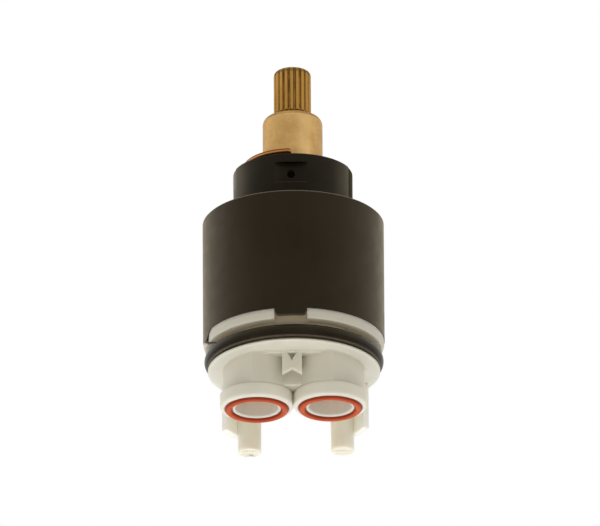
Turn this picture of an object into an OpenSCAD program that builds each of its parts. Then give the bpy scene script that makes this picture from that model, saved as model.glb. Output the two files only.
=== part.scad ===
// Single-spindle mixer tap cartridge with two ceramic discs.
// Millimetres. +Z runs up the spindle, the two inlet ports face down and -Y is the front.
// The origin is on the spindle axis, level with the tips of the two locating pegs.

/* [Housing] */
// Outside diameter of the housing
housing_d = 39; // [38:0.25:44]
// Thickness of the housing's side wall
housing_wall = 2.2; // [1.8:0.1:2.6]
// Thickness of the housing's top wall
housing_top_t = 2.5; // [1.5:0.25:4]
// Chamfer on the housing's top edge
housing_chamfer = 0.3; // [0.1:0.1:0.8]
// Width of the front and rear tabs that drop into the base ring
tab_w = 6.8; // [5:0.1:9]
// Depth of the tabs below the housing's lower edge
tab_h = 1.45; // [1:0.05:1.8]
// Thickness of the tabs and of the tooth beside them
tab_t = 1.1; // [0.8:0.05:1.6]
// Radius of the tabs' lower corners
tab_corner_r = 1; // [0.3:0.1:1]
// Width of the two inner keyways
keyway_w = 5; // [4:0.25:7]
// Depth of the two inner keyways into the wall
keyway_depth = 1.2; // [0.6:0.1:1.4]

/* [Neck guide] */
// Diameter of the neck's proud front
neck_d = 26; // [23:0.25:28]
// Height of the neck above the housing
neck_h = 11.2; // [10:0.1:16]
// Depth by which the neck's back and sides are set back
neck_step = 0.15; // [0.1:0.05:0.6]
// Half angle of the neck's proud front
neck_front_angle = 68.5; // [40:0.5:85]
// Thickness of the guide's flange under the housing top
guide_flange_t = 3; // [2.5:0.25:4.5]
// Width of the scoop in the front of the neck
scoop_w = 7.2; // [5:0.2:9]
// Height of the scoop in the front of the neck
scoop_h = 4.6; // [3:0.1:6]
// Depth of the scoop at its middle
scoop_depth = 1.5; // [1.2:0.1:2]
// Distance of the scoop's upper edge below the neck's rim
scoop_drop = 1.95; // [1:0.05:3]
// Diameter of the round moulding dimple in the scoop
dimple_d = 1.8; // [1:0.1:2.5]
// Angle that the stop lug on top of the neck covers
lug_angle = 47; // [20:1:90]
// Height of the stop lug
lug_h = 2.4; // [2:0.1:3.5]

/* [Stem] */
// Diameter of the stem's barrel
barrel_d = 12.9; // [11.5:0.1:13.5]
// Height of the barrel above the neck
barrel_h = 13.45; // [8:0.05:20]
// Radius of the barrel's upper edge
barrel_edge_r = 1.7; // [0.3:0.1:2]
// Outside diameter of the splined end
spline_d = 8; // [7:0.1:9]
// Number of spline teeth
spline_teeth = 20; // [16:2:24]
// Depth of the grooves between the teeth
spline_depth = 0.42; // [0.3:0.02:0.6]
// Length of the splined end above the barrel
spline_h = 10.9; // [8:0.1:16]
// Height of the plain ring below the teeth
spline_relief_h = 0.75; // [0.4:0.05:1.5]
// Rounding of the spline's tip
spline_edge_r = 1; // [0.3:0.1:1.2]
// Core diameter of the M4 thread for the handle screw
screw_core_d = 3.3; // [2.5:0.1:4.2]
// Depth of the handle screw's hole
screw_depth = 10; // [6:0.5:10.5]
// Diameter of the stem's inner collar, which keeps it in the neck
stem_collar_d = 16; // [15:0.25:18]
// Height of the stem's inner collar
stem_collar_h = 2.8; // [2:0.1:3]
// Thickness of the tang that turns the disc driver
tang_w = 6; // [4:0.25:8]
// Length of the tang below the stem's collar
tang_h = 3.5; // [2.5:0.25:3.9]
// Cord diameter of the two stem seals
stem_seal_cord = 1.6; // [1.2:0.1:2]
// Height of the bush at the neck's mouth
bush_h = 5; // [3:0.25:5.5]
// Wall of the bush at the neck's mouth
bush_wall = 1.45; // [1:0.05:2]

/* [Stop plate] */
// Diameter of the half-moon stop plate
plate_d = 21.2; // [19:0.2:24]
// Thickness of the stop plate
plate_t = 0.7; // [0.5:0.1:1.6]
// Height of the stop plate above the neck
plate_lift = 1.5; // [0.5:0.1:1.6]
// Rounding of the plate's two outer corners
plate_corner_r = 0.8; // [0.3:0.1:1.5]
// Outside diameter of the stop plate's two grips
grip_d = 14; // [13:0.2:15]
// Depth of the stem groove that holds the plate
plate_groove_depth = 1.45; // [0.8:0.05:2]

/* [Discs and driver] */
// Thickness of the fixed ceramic disc
fixed_disc_t = 5; // [3.5:0.25:6]
// Diameter of the moving ceramic disc
moving_disc_d = 28; // [26.5:0.25:29]
// Thickness of the moving ceramic disc
moving_disc_t = 5; // [3.5:0.25:6]
// Thickness of the disc driver
driver_t = 4.7; // [4.5:0.1:6]
// Thickness of the thrust washer above the driver
driver_washer_t = 1.3; // [0.8:0.1:2]
// Thickness of the washer above the stem's collar
stem_washer_t = 0.5; // [0.3:0.1:0.8]
// Width of the driver's three lugs
driver_lug_w = 3; // [2:0.25:4]
// Radius of the circle on which the two inlet kidneys lie
port_ring_r = 9.5; // [9:0.1:9.8]
// Width of the fixed disc's inlet kidneys
kidney_w = 4; // [3:0.1:4.2]
// Diameter of the mixed water outlet
outlet_d = 6.8; // [5.5:0.1:7]
// Distance of the mixed water outlet behind the axis
outlet_y = 2; // [1.5:0.1:2.2]

/* [Base] */
// Diameter of the base flange
flange_d = 37; // [35:0.25:38]
// Thickness of the base flange
flange_t = 0.45; // [0.4:0.05:1.4]
// Height of the groove for the large ring seal
ring_groove_h = 4.65; // [4.2:0.05:5.5]
// Cord diameter of the large ring seal
ring_cord = 2.9; // [2.4:0.1:3]
// Distance by which the ring seal stays inside the housing's diameter
ring_inset = 0.25; // [0.1:0.05:0.5]
// Height of the ring seal above the flange: it grips the groove's inner wall
ring_lift = 0.6; // [0:0.1:1]
// Height of the notched ring that the housing stands on
base_ring_h = 2.1; // [2.1:0.05:4]
// Draft of the notched ring at its lower edge
base_ring_draft = 0.4; // [0.1:0.1:0.8]
// Height of the base's spigot inside the housing
spigot_h = 5.5; // [5:0.25:9]
// Distance from the port faces to the flange
port_h = 10.3; // [9:0.1:14]
// Height of the thicker collar at each port's mouth
port_collar_h = 3.1; // [2:0.1:4]
// Distance between the two ports
port_pitch = 15.75; // [15.2:0.05:15.9]
// Distance of the two ports in front of the axis
port_y = 5.1; // [4.6:0.1:5.6]
// Outside diameter of the collar at each port's mouth
port_collar_d = 15.7; // [15.5:0.1:16]
// Rounding of the port mouths' outer edge
port_edge_r = 0.7; // [0.3:0.1:0.8]
// Step between the collar and the tube above it
port_step = 0.2; // [0.1:0.05:0.4]
// Diameter of the two inlet bores
inlet_d = 9.2; // [8:0.1:9.4]
// Rounding of the bores' mouths
mouth_edge_r = 0.35; // [0.2:0.05:0.5]
// Circle that the tubes' outer sides and the front pad follow
boss_d = 30.8; // [30:0.1:32]
// Mean diameter of the two port seals
port_seal_d = 12.1; // [11.9:0.05:12.3]
// Cord diameter of the two port seals
port_seal_cord = 1.7; // [1.5:0.05:1.8]
// Distance by which the port seals stand out
port_seal_proud = 0.65; // [0.4:0.05:0.8]

/* [Legs and pegs] */
// Inner radius of the two legs
leg_r_in = 15.7; // [14.8:0.1:15.9]
// Outer radius of the two legs
leg_r_out = 17.1; // [16:0.1:17.4]
// Angle behind the side at which each leg starts
leg_start = 23; // [20:1:32]
// Angle behind the side at which each leg ends
leg_end = 52; // [48:1:60]
// Diameter of the two locating pegs
peg_d = 5; // [4:0.1:5.2]
// Length of the locating pegs below the port faces
peg_h = 4; // [2.5:0.25:6]
// Distance of each peg to the side of the axis
peg_x = 10; // [9:0.1:11]
// Distance of each peg behind the axis
peg_y = 10.2; // [9:0.1:11]

/* [Rib between the ports] */
// Width of the rib
rib_w = 4.2; // [3:0.1:5]
// Distance of the rib's front from the axis
rib_front = 12.9; // [12.4:0.1:13.1]
// Thickness of the rib's front wall, which ends below in a gable
rib_wall = 1.2; // [0.8:0.1:1.6]
// Depth of the pocket behind the rib's front
rib_pocket_depth = 2.9; // [2:0.1:3.2]
// Height of the gable's eaves above the port faces
rib_eaves_h = 5; // [4.5:0.1:5.5]
// Rise of the gable from its eaves
rib_gable_h = 1.2; // [0.5:0.05:1.3]
// Height of the notch at the top of the rib's front wall
rib_notch_h = 2.2; // [1:0.1:2.3]

/* [Clearances] */
// Radial gap between two pieces that turn against each other
run_gap = 0.05; // [0.03:0.01:0.08]
// Radial gap between two fixed pieces that fit together
seat_gap = 0.05; // [0.03:0.01:0.1]
// Gap on each side of a tab, key or lug
key_gap = 0.12; // [0.05:0.01:0.2]
// Height by which the gaskets stand out under the fixed disc
gasket_proud = 0.3; // [0.1:0.05:0.5]

/* [Hidden] */
$fn = 96;
eps = 0.01;

// Levels, from the peg tips upwards
z_port = peg_h;
z_flange = z_port + port_h;
z_groove = z_flange + flange_t;
z_ring = z_groove + ring_groove_h;
z_housing = z_ring + base_ring_h;
z_spigot = z_housing + spigot_h;
z_fixed = z_spigot + gasket_proud;
z_moving = z_fixed + fixed_disc_t;
z_driver = z_moving + moving_disc_t;
z_washer = z_driver + driver_t;
z_guide = z_washer + driver_washer_t;
z_ceiling = z_guide + guide_flange_t;
z_top = z_ceiling + housing_top_t;
z_neck = z_top + neck_h;
z_plate = z_neck + plate_lift;
z_shoulder = z_neck + barrel_h;
z_tip = z_shoulder + spline_h;

// Radii that follow from the sizes above
housing_r = housing_d / 2;
cavity_r = housing_r - housing_wall;
spigot_r = cavity_r - seat_gap;
neck_r = neck_d / 2;
barrel_r = barrel_d / 2;
stem_bore_r = barrel_r + run_gap;
collar_r = port_collar_d / 2;
tube_r = collar_r - port_step;
ring_groove_r = housing_r - ring_inset - ring_cord;
notch_back_r = ring_groove_r + 0.2;
base_ring_r = housing_r - 0.1;
ring_seal_r = ring_cord / 2 - 0.01;
port_x = port_pitch / 2;

// Scoop in the front of the neck: an upright cylinder that cuts a crescent out of it
scoop_rise = scoop_depth - (neck_r - sqrt(pow(neck_r, 2) - pow(scoop_w / 2, 2)));
scoop_r = (pow(scoop_w / 2, 2) + pow(scoop_rise, 2)) / (2 * scoop_rise);
dimple_depth = 0.6;

// Snap bead that holds the housing on the spigot
bead_h = 1;
bead_proud = 0.3;
bead_z = z_housing + 0.55 * spigot_h;

// Stop plate, its groove and the lug that it meets at both ends of its turn
plate_from = 90;
plate_to = 270;
stop_margin = 1.5;
lug_from = plate_from - stop_margin - lug_angle;
lug_r_out = neck_r - neck_step - 0.25;
lug_r_in = max(grip_d / 2 + 1.2, stem_bore_r + bush_wall + 0.25);
plate_root_r = barrel_r - plate_groove_depth;
plate_flat = plate_root_r - 0.75;

// Stem's inner collar, turning on the driver and under its washer
stem_collar_z = z_washer + 2 * run_gap;
stem_washer_z = stem_collar_z + stem_collar_h;
stem_washer_top = stem_washer_z + stem_washer_t;
stem_seal_r = stem_seal_cord / 2;
seal_slack = 0.03;
stem_seal_groove_h = stem_seal_cord + 0.4;
stem_seal_high_z = z_neck - bush_h - 1.4 * stem_seal_cord;
stem_seal_low_z = stem_seal_high_z - 2.5 * stem_seal_cord;
tang_r = stem_collar_d / 2 - 0.5;

// Seal on top of the guide's flange, squeezed under the housing top
guide_seal_r = 0.75;
guide_seal_ring_r = (neck_r + spigot_r) / 2;

// Driver, its lugs and its face seal
driver_r = moving_disc_d / 2 + 0.2;
driver_lug_h = 1.5;
driver_lug_depth = 1.8;
driver_lug_angles = [30, 150, 270];
driver_seal_r = 0.7;
driver_seal_ring_r = moving_disc_d / 2 - driver_lug_depth - driver_seal_r - 0.1;

// Moving disc's mixing pocket: a centre well and a sweep that meets the inlets in turn
well_r = outlet_y + outlet_d / 2 + 0.3;
sweep_from = 138;
sweep_to = 197;
sweep_r = port_ring_r - 0.9;
sweep_half_w = 2;

// Angle between two points on a kidney's round end
cap_step = 15;

// Fixed disc's inlets and keys, the same on the base and the gaskets
kidney_from = 227;
kidney_to = 243;
fixed_key_w = 4;
fixed_key_h = 3;
fixed_key_depth = 1.6;
fixed_disc_r = cavity_r - 2 * seat_gap;
fixed_key_r = fixed_disc_r - fixed_key_depth;

// Gaskets between the base and the fixed disc
gasket_lip = 1.15;
gasket_depth = 1.5;
chamber_half_w = kidney_w / 2 + 0.3;
chamber_z = z_housing - 1.6;
outlet_low_y = outlet_y + 1;
outlet_low_r = outlet_d / 2 + 0.2;
outlet_low_top = z_groove + 3;

// Seals in the port faces
seal_cord_r = port_seal_cord / 2;
seal_ring_r = port_seal_d / 2;
seal_groove_w = port_seal_cord + 0.06;
seal_groove_h = port_seal_cord - port_seal_proud;

// Rounding of the pegs' tips, and what their shafts gain in radius up to the flange
peg_edge_r = 0.4;
peg_draft = 0.25;

// Front of the pad under the flange: a shallow curve
pad_t = 0.5;
pad_front = rib_front + 0.15;
pad_curve_r = 45;

// Rib: half width of the notch at its top, roof of its pocket and foot of its back wall
rib_notch_half = 0.3 * rib_w;
rib_roof_h = rib_eaves_h + rib_gable_h + 0.8;
rib_foot_h = port_collar_h + 0.3;

// Tooth on the left of the housing: how far in front of the axis its corners lie
tooth_front = 8.6;
tooth_tip_front = 5.8;
tooth_tip_back = 4.2;
tooth_back = 1.2;
tooth_h = base_ring_h - 0.25;
tooth_rise = 0.3;

// A plain round bar
module rod(r, z0, z1) {
    translate([0, 0, z0]) cylinder(r = r, h = z1 - z0);
}

// A plain tube
module tube(r_in, r_out, z0, z1) {
    translate([0, 0, z0]) difference() {
        cylinder(r = r_out, h = z1 - z0);
        translate([0, 0, -eps]) cylinder(r = r_in, h = z1 - z0 + 2 * eps);
    }
}

// A bar through the axis along X, wide enough to cross the whole part
module bar(width, z0, z1) {
    translate([-2 * housing_r, -width / 2, z0]) cube([4 * housing_r, width, z1 - z0]);
}

// A pie wedge that reaches past radius r
module wedge(r, from, to) {
    steps = ceil((to - from) / 40);
    reach = 1.3 * r;
    polygon(concat([[0, 0]],
        [for (i = [0 : steps]) let (a = from + (to - from) * i / steps)
            [reach * cos(a), reach * sin(a)]]));
}

// A ring sector as an outline
module ring_sector(r_in, r_out, from, to) {
    intersection() {
        difference() {
            circle(r = r_out);
            circle(r = r_in);
        }
        wedge(r_out, from, to);
    }
}

// Points of an arc about a centre, in n steps
function arc(centre, r, from, to, n) =
    [for (i = [0 : n]) let (a = from + (to - from) * i / n) centre + r * [cos(a), sin(a)]];

// A kidney: a curved slot with round ends, given by the angles of its end centres
module kidney(r_mid, half_w, from, to) {
    end_centre = r_mid * [cos(to), sin(to)];
    start_centre = r_mid * [cos(from), sin(from)];
    polygon(concat(
        arc([0, 0], r_mid + half_w, from, to, 8),
        arc(end_centre, half_w, to + cap_step, to + 180 - cap_step, 10),
        arc([0, 0], r_mid - half_w, to, from, 8),
        arc(start_centre, half_w, from + 180 + cap_step, from + 360 - cap_step, 10)));
}

// A ring of round section, for seals and rounded edges
module torus(r_ring, r_cord, z) {
    translate([0, 0, z]) rotate_extrude() translate([r_ring, 0]) circle(r = r_cord, $fn = 48);
}

// A round groove for a ring seal, cut upwards from z
module seal_groove(r_ring, width, z, h) {
    tube(r_ring - width / 2, r_ring + width / 2, z, z + h);
}

// A rectangle whose two lower corners are round
module rounded_tab(w, h, r) {
    translate([-w / 2, r - h]) square([w, h - r + eps]);
    translate([r - w / 2, -h]) square([w - 2 * r, h + eps]);
    for (s = [-1, 1]) translate([s * (w / 2 - r), r - h]) circle(r = r, $fn = 48);
}

// Both inlets: children are drawn at the cold port and at the hot port
module at_ports() {
    for (s = [-1, 1]) translate([s * port_x, -port_y, 0]) children();
}

// Carries an outline of [Y, Z] across the left half of the part
module across_left() {
    rotate([90, 0, 90]) translate([0, 0, -1.5 * housing_r])
        linear_extrude(height = 1.5 * housing_r) children();
}

// The front and rear tabs and the left tooth, hanging from the housing's lower edge
module tab_forms() {
    translate([0, 0, z_housing]) {
        rotate([90, 0, 0]) linear_extrude(height = 3 * housing_r, center = true)
            rounded_tab(tab_w, tab_h, tab_corner_r);
        across_left() polygon([[-tooth_front, eps], [-tooth_tip_front, -tooth_h],
            [-tooth_tip_back, tooth_rise - tooth_h], [-tooth_back, eps]]);
    }
}

// The notches in the base ring that those tabs drop into
module tab_notches() {
    floor_z = -base_ring_h - eps;
    translate([0, 0, z_housing]) {
        rotate([0, 0, 90]) bar(tab_w + 2 * key_gap, floor_z, eps);
        across_left() polygon([[-tooth_front - key_gap, eps],
            [-tooth_tip_front - key_gap, -tooth_h], [-tooth_tip_front - key_gap, floor_z],
            [-tooth_tip_back, floor_z], [-tooth_tip_back, tooth_rise - tooth_h - key_gap],
            [-tooth_back + key_gap, eps]]);
    }
}

module housing() color([0.16, 0.13, 0.1]) difference() {
    union() {
        rotate_extrude($fn = 128) polygon([
            [cavity_r + 0.3, z_housing], [housing_r, z_housing],
            [housing_r, z_top - housing_chamfer], [housing_r - housing_chamfer, z_top],
            [neck_r + seat_gap, z_top], [neck_r + seat_gap, z_ceiling],
            [cavity_r, z_ceiling], [cavity_r, z_housing + 0.6]]);
        intersection() {
            tube(housing_r - tab_t, housing_r, z_housing - tooth_h, z_housing + 1);
            tab_forms();
        }
    }
    tube(cavity_r - 1, cavity_r + bead_proud, bead_z - bead_h / 2 - 0.1,
        bead_z + bead_h / 2 + 0.1);
    intersection() {
        rod(cavity_r + keyway_depth, z_housing + 1, z_ceiling);
        rotate(90) bar(keyway_w, z_housing, z_top);
    }
}

module neck_guide() color([0.1, 0.09, 0.08]) difference() {
    union() {
        rod(neck_r - neck_step, z_ceiling - 1, z_neck);
        rod(neck_r, z_ceiling - 1, z_top);
        translate([0, 0, z_top]) linear_extrude(height = neck_h)
            intersection() {
                circle(r = neck_r);
                wedge(neck_r, 270 - neck_front_angle, 270 + neck_front_angle);
            }
        rod(spigot_r, z_guide, z_ceiling);
        intersection() {
            rod(spigot_r + keyway_depth - key_gap, z_guide, z_ceiling);
            rotate(90) bar(keyway_w - 2 * key_gap, z_guide, z_ceiling);
        }
        translate([0, 0, z_neck - 1]) linear_extrude(height = lug_h + 1)
            ring_sector(lug_r_in, lug_r_out, lug_from, lug_from + lug_angle);
    }
    rod(stem_bore_r, z_guide - 1, z_neck + 1);
    rod(stem_collar_d / 2 + 0.3, z_guide - 1, stem_washer_top);
    rod(barrel_r + run_gap + bush_wall, z_neck - bush_h, z_neck + 1);
    seal_groove(guide_seal_ring_r, 2 * guide_seal_r + 0.1, z_ceiling - 2 * guide_seal_r,
        2 * guide_seal_r + 1);
    scoop_cut();
}

// The scoop in the front of the neck, with a round moulding dimple in its middle
module scoop_cut() {
    translate([0, scoop_depth - neck_r - scoop_r, z_neck - scoop_drop - scoop_h])
        cylinder(r = scoop_r, h = scoop_h);
    translate([0, scoop_depth - neck_r, z_neck - scoop_drop - scoop_h / 2]) rotate([90, 0, 0])
        cylinder(d = dimple_d, h = 2 * dimple_depth, center = true, $fn = 48);
}

module guide_oring() color([0.08, 0.08, 0.08])
    torus(guide_seal_ring_r, guide_seal_r, z_ceiling - guide_seal_r);

module stem() color([0.8, 0.62, 0.35]) difference() {
    union() {
        rod(stem_collar_d / 2, stem_collar_z, stem_washer_z);
        rod(barrel_r, stem_washer_z - 1, z_shoulder - barrel_edge_r);
        rod(barrel_r - barrel_edge_r, z_shoulder - barrel_edge_r - 1, z_shoulder);
        torus(barrel_r - barrel_edge_r, barrel_edge_r, z_shoulder - barrel_edge_r);
        intersection() {
            rod(tang_r, stem_collar_z - tang_h, stem_collar_z + 1);
            translate([-tang_r, -tang_w / 2, 0]) cube([2 * tang_r, tang_w, z_guide + 1]);
        }
        splined_end();
    }
    for (z = [stem_seal_low_z, stem_seal_high_z])
        tube(barrel_r + run_gap - stem_seal_cord, barrel_r + 1, z - stem_seal_groove_h / 2,
            z + stem_seal_groove_h / 2);
    translate([0, 0, z_plate]) difference() {
        cylinder(r = barrel_r + 1, h = plate_t);
        translate([0, 0, -1]) linear_extrude(height = plate_t + 2) plate_root();
    }
    translate([0, 0, z_tip - screw_depth]) cylinder(d = screw_core_d, h = screw_depth + 1);
}

// Outline of the stem inside the plate's groove: a circle with two flats
module plate_root() intersection() {
    circle(r = plate_root_r);
    square([4 * plate_root_r, 2 * plate_flat], center = true);
}

// The splined end: a cylinder with a rounded tip and a groove between each two teeth
module splined_end() {
    tooth_z = z_shoulder + spline_relief_h;
    groove_half = 0.33 * PI * spline_d / spline_teeth;
    root_r = spline_d / 2 - spline_depth;
    root_half = 0.12;
    rod(root_r + 0.1, z_shoulder - 1, tooth_z + 0.5);
    difference() {
        rotate_extrude() polygon(concat([[0, z_tip], [0, tooth_z], [spline_d / 2, tooth_z]],
            arc([spline_d / 2 - spline_edge_r, z_tip - spline_edge_r], spline_edge_r, 0, 90, 4)));
        for (i = [0 : spline_teeth - 1]) rotate((i + 0.5) * 360 / spline_teeth)
            translate([0, 0, tooth_z - 1]) linear_extrude(height = spline_h + 2)
                polygon([[root_r, -root_half], [spline_d / 2 + 0.1, -groove_half],
                    [spline_d / 2 + 0.1, groove_half], [root_r, root_half]]);
    }
}

module stop_plate() color([0.78, 0.48, 0.3]) translate([0, 0, z_plate])
    linear_extrude(height = plate_t) difference() {
        union() {
            intersection() {
                circle(d = plate_d);
                wedge(plate_d / 2, plate_from, plate_to);
            }
            circle(d = grip_d);
        }
        plate_corner();
        mirror([0, 1]) plate_corner();
        intersection() {
            circle(r = plate_root_r + run_gap);
            square([4 * plate_root_r, 2 * (plate_flat + run_gap)], center = true);
        }
        translate([0, -plate_flat - run_gap]) square([grip_d, 2 * (plate_flat + run_gap)]);
    }

// What the rounding takes off the plate's rear corner
module plate_corner() {
    inner_r = plate_d / 2 - plate_corner_r;
    centre_y = sqrt(pow(inner_r, 2) - pow(plate_corner_r, 2));
    reach = plate_corner_r * plate_d / 2 / inner_r;
    difference() {
        translate([-reach, centre_y]) square([2 * reach, plate_corner_r + 1]);
        translate([-plate_corner_r, centre_y]) circle(r = plate_corner_r, $fn = 48);
    }
}

module stem_oring_lower() color([0.09, 0.09, 0.09])
    torus(barrel_r + run_gap - stem_seal_r - seal_slack, stem_seal_r - seal_slack,
        stem_seal_low_z);

module stem_oring_upper() color([0.09, 0.09, 0.09])
    torus(barrel_r + run_gap - stem_seal_r - seal_slack, stem_seal_r - seal_slack,
        stem_seal_high_z);

module stem_bush() color([0.88, 0.87, 0.82])
    tube(stem_bore_r, stem_bore_r + bush_wall - seat_gap, z_neck - bush_h, z_neck);

module stem_washer() color([0.93, 0.93, 0.9])
    tube(stem_bore_r, stem_collar_d / 2, stem_washer_z, stem_washer_top);

module driver_washer() color([0.93, 0.93, 0.9])
    tube(stem_collar_d / 2 + 1, driver_r - 0.2, z_washer, z_guide);

module disc_driver() color([0.55, 0.57, 0.6]) difference() {
    union() {
        rod(driver_r, z_driver, z_washer);
        for (a = driver_lug_angles) rotate(a) intersection() {
            tube(moving_disc_d / 2 - driver_lug_depth, moving_disc_d / 2,
                z_driver - driver_lug_h, z_driver + 1);
            translate([0, -driver_lug_w / 2, z_driver - driver_lug_h])
                cube([driver_r + 1, driver_lug_w, driver_lug_h + 1]);
        }
    }
    intersection() {
        rod(tang_r + run_gap, stem_collar_z - tang_h - 0.1, z_washer + 1);
        translate([-tang_r - 1, -tang_w / 2 - run_gap, 0])
            cube([2 * tang_r + 2, tang_w + 2 * run_gap, z_washer + 1]);
    }
    seal_groove(driver_seal_ring_r, 2 * driver_seal_r + 0.1, z_driver - 1, 2 * driver_seal_r + 1);
}

module driver_seal() color([0.09, 0.09, 0.09])
    torus(driver_seal_ring_r, driver_seal_r, z_driver + driver_seal_r);

module moving_disc() color([0.95, 0.94, 0.9]) translate([0, 0, z_moving]) difference() {
    cylinder(d = moving_disc_d, h = moving_disc_t);
    translate([0, 0, -1]) linear_extrude(height = moving_disc_t + 2) {
        circle(r = well_r);
        kidney(sweep_r, sweep_half_w, sweep_from, sweep_to);
        ring_sector(well_r - 1, sweep_r, sweep_from, sweep_to);
    }
    for (a = driver_lug_angles) rotate(a)
        translate([moving_disc_d / 2 - driver_lug_depth - key_gap, -driver_lug_w / 2 - key_gap,
            moving_disc_t - driver_lug_h - key_gap])
            cube([driver_lug_depth + 1, driver_lug_w + 2 * key_gap, driver_lug_h + 1]);
}

module fixed_disc() color([0.95, 0.94, 0.9]) translate([0, 0, z_fixed]) difference() {
    cylinder(r = fixed_disc_r, h = fixed_disc_t);
    translate([0, 0, -1]) linear_extrude(height = fixed_disc_t + 2) {
        inlet_outline(kidney_w / 2);
        translate([0, outlet_y]) circle(d = outlet_d);
    }
    for (a = [0, 180]) rotate(a)
        translate([fixed_key_r - key_gap, -fixed_key_w / 2 - key_gap, -1])
            cube([fixed_key_depth + 1, fixed_key_w + 2 * key_gap,
                fixed_key_h - gasket_proud + 1 + key_gap]);
}

// Both inlet kidneys, mirrored about the middle
module inlet_outline(half_w) {
    kidney(port_ring_r, half_w, kidney_from, kidney_to);
    mirror([1, 0]) kidney(port_ring_r, half_w, kidney_from, kidney_to);
}

// One inlet gasket: a flat kidney-shaped ring
module inlet_gasket() {
    translate([0, 0, z_spigot - gasket_depth])
        linear_extrude(height = gasket_depth + gasket_proud) difference() {
            kidney(port_ring_r, chamber_half_w + gasket_lip - seat_gap, kidney_from, kidney_to);
            kidney(port_ring_r, chamber_half_w, kidney_from, kidney_to);
        }
}

module cold_gasket() color([0.12, 0.12, 0.12]) inlet_gasket();

module hot_gasket() color([0.12, 0.12, 0.12]) mirror([1, 0, 0]) inlet_gasket();

module outlet_gasket() color([0.12, 0.12, 0.12]) translate([0, outlet_y, 0])
    tube(outlet_d / 2, outlet_d / 2 + gasket_lip - seat_gap, z_spigot - gasket_depth, z_fixed);

module base() color([0.9, 0.89, 0.83]) difference() {
    union() {
        base_top();
        port_tubes();
        rib();
        leg();
        mirror([1, 0, 0]) leg();
    }
    base_passages();
}

// Flange, ring groove, notched ring and spigot with its snap bead and its two keys
module base_top() {
    difference() {
        rotate_extrude($fn = 128) polygon([
            [0, z_flange], [flange_d / 2 - 0.2, z_flange], [flange_d / 2, z_flange + 0.2],
            [flange_d / 2, z_groove], [ring_groove_r, z_groove], [ring_groove_r, z_ring],
            [base_ring_r - base_ring_draft, z_ring],
            [base_ring_r, z_ring + 0.6 * base_ring_h], [base_ring_r, z_housing],
            [spigot_r, z_housing], [spigot_r, z_spigot - 0.4], [spigot_r - 0.4, z_spigot],
            [0, z_spigot]]);
        difference() {
            tab_notches();
            rod(notch_back_r, 0, z_housing);
            rod(spigot_r, z_housing, z_spigot);
        }
    }
    tube(spigot_r - 1, spigot_r + bead_proud - 0.05, bead_z - bead_h / 2, bead_z + bead_h / 2);
    intersection() {
        tube(fixed_key_r, fixed_disc_r, z_spigot - 1, z_spigot + fixed_key_h);
        bar(fixed_key_w, z_spigot - 1, z_spigot + fixed_key_h);
    }
}

// The two inlet tubes, each with a thicker collar round its mouth, and the pad above them
module port_tubes() {
    at_ports() {
        rod(collar_r, z_port + port_edge_r, z_port + port_collar_h);
        rod(collar_r - port_edge_r, z_port, z_port + port_edge_r + 1);
        torus(collar_r - port_edge_r, port_edge_r, z_port + port_edge_r);
    }
    intersection() {
        at_ports() rod(tube_r, z_port + port_collar_h - 1, z_flange + 0.2);
        rod(boss_d / 2, 0, z_flange + 1);
    }
    intersection() {
        rod(boss_d / 2, z_flange - pad_t, z_flange + 0.2);
        translate([0, pad_curve_r - pad_front, 0]) rod(pad_curve_r, 0, z_flange + 1);
        translate([-boss_d, -boss_d, 0]) cube([2 * boss_d, boss_d, z_flange + 1]);
    }
}

// The rib between the tubes: a notched front wall that ends in a gable, the roof of the pocket
// behind it, and the wall at the pocket's back
module rib() {
    translate([0, rib_wall - rib_front, z_port]) rotate([90, 0, 0])
        linear_extrude(height = rib_wall) polygon([[-rib_w / 2, rib_eaves_h],
            [0, rib_eaves_h + rib_gable_h], [rib_w / 2, rib_eaves_h], [rib_w / 2, port_h],
            [rib_notch_half, port_h], [0, port_h - rib_notch_h], [-rib_notch_half, port_h],
            [-rib_w / 2, port_h]]);
    translate([-rib_w / 2, rib_wall - rib_front - eps, z_port + rib_roof_h])
        cube([rib_w, rib_front - rib_wall + eps, port_h - rib_roof_h + 0.2]);
    translate([-rib_w / 2, rib_pocket_depth - rib_front, z_port + rib_foot_h])
        cube([rib_w, rib_front - rib_pocket_depth, port_h - rib_foot_h + 0.2]);
}

// One leg: an arc of wall behind the port, with a round locating peg that widens upwards
module leg() {
    translate([0, 0, z_port]) linear_extrude(height = port_h + 0.2)
        ring_sector(leg_r_in, leg_r_out, leg_start, leg_end);
    translate([peg_x, peg_y, 0]) {
        rod(peg_d / 2, peg_edge_r, z_port + eps);
        rod(peg_d / 2 - peg_edge_r, 0, 2 * peg_edge_r);
        torus(peg_d / 2 - peg_edge_r, peg_edge_r, peg_edge_r);
        translate([0, 0, z_port])
            cylinder(r1 = peg_d / 2, r2 = peg_d / 2 + peg_draft, h = port_h + 0.2);
    }
}

// What the rounding takes off the mouth of an inlet bore
module bore_mouth() difference() {
    rod(inlet_d / 2 + mouth_edge_r, 0, z_port + mouth_edge_r);
    torus(inlet_d / 2 + mouth_edge_r, mouth_edge_r, z_port + mouth_edge_r);
}

// Everything that water runs through, and the grooves that its seals sit in
module base_passages() {
    at_ports() {
        rod(inlet_d / 2, 0, chamber_z + 0.5);
        bore_mouth();
        seal_groove(seal_ring_r, seal_groove_w, z_port - 1, seal_groove_h + 1);
    }
    translate([0, 0, chamber_z]) linear_extrude(height = z_spigot) inlet_outline(chamber_half_w);
    translate([0, outlet_y, 0]) rod(outlet_d / 2, z_groove + 1, z_spigot + 1);
    translate([0, outlet_low_y, 0]) rod(outlet_low_r, z_flange - 1, outlet_low_top);
    translate([0, 0, z_spigot - gasket_depth]) linear_extrude(height = 2 * gasket_depth) {
        inlet_outline(chamber_half_w + gasket_lip);
        translate([0, outlet_y]) circle(r = outlet_d / 2 + gasket_lip);
    }
}

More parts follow.
